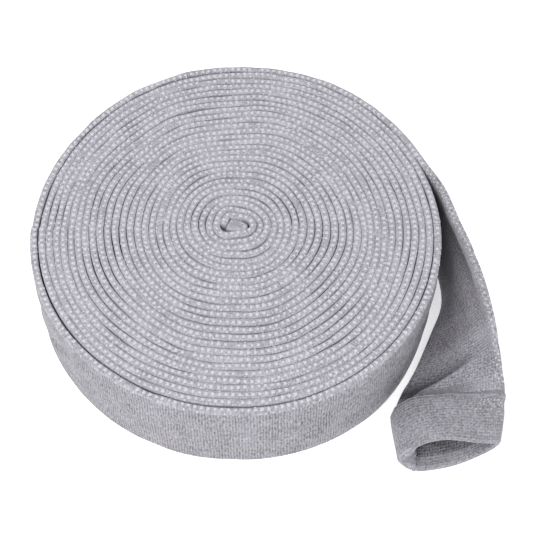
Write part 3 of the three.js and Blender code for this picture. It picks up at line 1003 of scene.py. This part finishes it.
def mouth_shape():
    """Points, texture distances and cloth number of each row of the mouth's skin."""
    table = mouth_rows()
    t, flat_depth, forward, puff, pinch, cloth = table.T[..., None]
    ply, turn = mouth_loop()
    above = ply < 0
    outside = puff + (cloth == SKIN_CLOTH) > 0.25
    over = smooth(np.sin(turn), 0.0, 0.5)
    swell = np.where(above, UPPER_SWELL, LOWER_SWELL) * np.sin(np.clip(t - HEM, 0, 1) * math.pi) * over
    left_swell = np.where(above, LEFT_SWELL, 0.0) * on_arc(turn, 0.25, 0.3) * bump_at(t, HEM + 0.15, 0.7)
    ripple = RIPPLE * cuff_waves.over(turn * 22 * ply, t * 18) * over
    from_crease = (turn - 0.25 * math.pi) * 27
    crease = LIP_RIDGE * bump_at(from_crease, -1.0, 1.3) - LIP_CREASE * bump_at(from_crease, 0.9, 1.5)
    crease = np.where(above, 0, crease) * np.where(cloth == REVERSE_CLOTH, -1.0, 0.6) * smooth(t, 8.2, 8.8)
    from_upper = 32.5 * (1 + np.cos(turn))
    hollow = np.where(above & outside, valley(t, from_upper), 0) * smooth(t, HEM + 0.05, HEM - 0.2)
    closing = -CLOSING * smooth(turn, 0.27 * math.pi, 0.17 * math.pi) * pinch
    thin = 1 - 0.6 * smooth(turn, 0.6 * math.pi, 0.85 * math.pi) * smooth(t, HEM + 0.5, HEM + 0.1)
    depth = flat_depth * thin + (swell + left_swell + ripple) * puff + crease + hollow + closing

    waving = HEM_WAVES * cuff_waves.along(turn * 14) * bump_at(t, HEM, 0.4) * over
    drawn_back = DRAWN_BACK * on_arc(turn, 0.2, 0.3) * smooth(turn, 0, 0.12 * math.pi)
    waving = waving - np.where(above, drawn_back, 0) * bump_at(t, HEM - 0.1, 0.75)
    points = wall_points(table[:, 0], ply, turn, depth, forward + np.where(outside, waving, 0))

    u = path_length(points[:, MOUTH_COLUMNS + MOUTH_COLUMNS // 2])
    ring = points[len(points) // 2]
    path = path_length(np.vstack([ring, ring[:1]]))
    return points, u + length_of_station(MOUTH_ROOT), path[MOUTH_COLUMNS] - path, table[:, 5]


def open_with_lip(piece):
    """Bakes the piece's placing into its mesh."""
    middle, station = np.full(2, math.pi / 2), np.array([8.6])
    ends = wall_points(station, np.array([1.0, -1.0]), middle, np.zeros((1, 2)), 0.0)[0]
    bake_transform(piece)


def build_mouth():
    """The mouth's skin, whose points are returned for the stitches on it."""
    points, u, v, cloth = mouth_shape()
    skin = closed_skin("mouth_knit", points, u, v)
    for material in (TAIL, CUFF, REVERSE):
        skin.data.materials.append(material)
    faces = np.repeat(np.maximum(cloth[:-1], cloth[1:]), points.shape[1])
    faces = np.concatenate([faces, [SKIN_CLOTH, REVERSE_CLOTH]])
    skin.data.polygons.foreach_set("material_index", faces.astype(np.int32))
    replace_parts(skin, "mouth_lower_ply", "mouth_upper_ply", "cuff_lower", "cuff_upper")
    open_with_lip(skin)
    return points


def on_cuff(points, row, columns):
    """Centres, directions round and forwards, and normals at one row of the mouth's skin."""
    ring = points[row]
    around = unit(np.roll(ring, -1, axis=0) - np.roll(ring, 1, axis=0))
    forward = unit(points[row + 1] - points[row - 1])
    normal = unit(np.cross(around, forward))
    inwards = ((ring - ring.mean(0)) * normal).sum(1, keepdims=True) < 0
    normal = np.where(inwards, -normal, normal)
    return ring[columns], around[columns], forward[columns], normal[columns]


def build_cuff_thread(points):
    """Pale thread in slanting stitches along the turned-back edge, drawn into the knit in places."""
    stitch, slant, drawn_in = (0.85, 0.3, 0.26), math.radians(24), 0.22
    columns = np.arange(points.shape[1])
    centre, around, forward, normal = on_cuff(points, SKIN_ROWS + EDGE_ROWS - 2, columns)
    turned = unit(around * math.cos(slant) + forward * math.sin(slant))
    centre = centre - drawn_in * normal * smooth(cuff_waves.along(columns * 0.8), 0.4, -0.4)[:, None]
    thread = strands("cuff_thread", centre, turned, normal, np.tile(stitch, (len(columns), 1)))
    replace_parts(finished(thread, THREAD), "cuff_thread_lower", "cuff_thread_upper")
    open_with_lip(thread)


def build_cuff_stitches(points):
    """White stitches on the turned-back edge near the upper fold, fewer further from it and from the hem."""
    rows, arm_size, spread, slant = 9, (0.75, 0.36, 0.24), 0.28, 0.3
    near_fold = np.arange(MOUTH_COLUMNS + 8, MOUTH_COLUMNS + 38, 3)
    lots = np.random.RandomState(5).uniform(0, 1, (rows, len(near_fold), 3))
    parts = []
    for number in range(rows):
        row = SKIN_ROWS + EDGE_ROWS + 1 + 2 * number
        shown = lots[number, :, 0] < 0.9 - 0.07 * number - 0.035 * np.arange(len(near_fold))
        centre, around, forward, normal = on_cuff(points, row, near_fold[shown] + number % 2)
        jitter = lots[number, shown] - 0.5
        centre = centre + 0.8 * (around * jitter[:, 1:2] + forward * jitter[:, 2:3])
        size = (0.8 + 0.5 * jitter[:, :1]) * arm_size
        for arm in (-1, 1):
            turned = unit(forward * math.cos(slant) + around * arm * math.sin(slant))
            parts.append((centre + around * arm * spread, turned, normal, size))
    flecks = strands("cuff_stitches", *joined(parts))
    open_with_lip(finished(flecks, TAIL_FLECK))


# ----floor, light and camera


def build_stage():
    size, below = 6.0, 0.0002
    mesh = bpy.data.meshes.new("studio_floor")
    corners = [(-size, -size, 0), (size, -size, 0), (size, size, 0), (-size, size, 0)]
    mesh.from_pydata(corners, [], [(0, 1, 2, 3)])
    floor = linked_object("studio_floor", mesh)
    floor.location.z = CAD_BOX[0][2] - below
    floor.data.materials.append(floor_material())


def look_from(obj, target, away):
    """Stand the object away from a target and turn it towards it."""
    obj.location = target + away
    obj.rotation_euler = (-away).to_track_quat("-Z", "Y").to_euler()


def area_light(name, place, size, power):
    light = bpy.data.lights.new(name, "AREA")
    light.size, light.energy = size, power
    look_from(linked_object(name, light), Vector(), Vector(place))


def build_light():
    """Two soft lamps in a white room, which the camera sees brighter than it lights."""
    world = bpy.data.worlds.new("studio")
    world.use_nodes = True
    tree = world.node_tree
    background = tree.nodes["Background"]
    background.inputs["Color"].default_value = (1.0, 1.0, 1.0, 1.0)
    light_path = tree.nodes.new("ShaderNodeLightPath")
    strength = tree.nodes.new("ShaderNodeMapRange")
    lit, seen = 0.72, 1.0
    strength.inputs["To Min"].default_value, strength.inputs["To Max"].default_value = lit, seen
    tree.links.new(light_path.outputs["Is Camera Ray"], strength.inputs["Value"])
    tree.links.new(strength.outputs["Result"], background.inputs["Strength"])
    bpy.context.scene.world = world
    area_light("key", (-0.75, -0.75, 1.25), size=0.9, power=11)
    area_light("fill", (0.9, -0.9, 0.9), size=1.2, power=3)
    bpy.context.scene.view_settings.view_transform = "Standard"


def build_camera():
    elevation, distance = math.radians(58.98), 0.972
    data = bpy.data.cameras.new("camera")
    data.lens, data.sensor_width = 100.1, 36
    camera = linked_object("camera", data)
    back = Vector((0, -math.cos(elevation), math.sin(elevation)))
    look_from(camera, Vector((0.0222, 0.0057, 0.0)), back * distance)
    bpy.context.scene.camera = camera


build_rings()
build_core_fold()
build_outer_wall()
build_tail()
mouth_points = build_mouth()
build_cuff_thread(mouth_points)
build_cuff_stitches(mouth_points)
build_stage()
build_light()
build_camera()
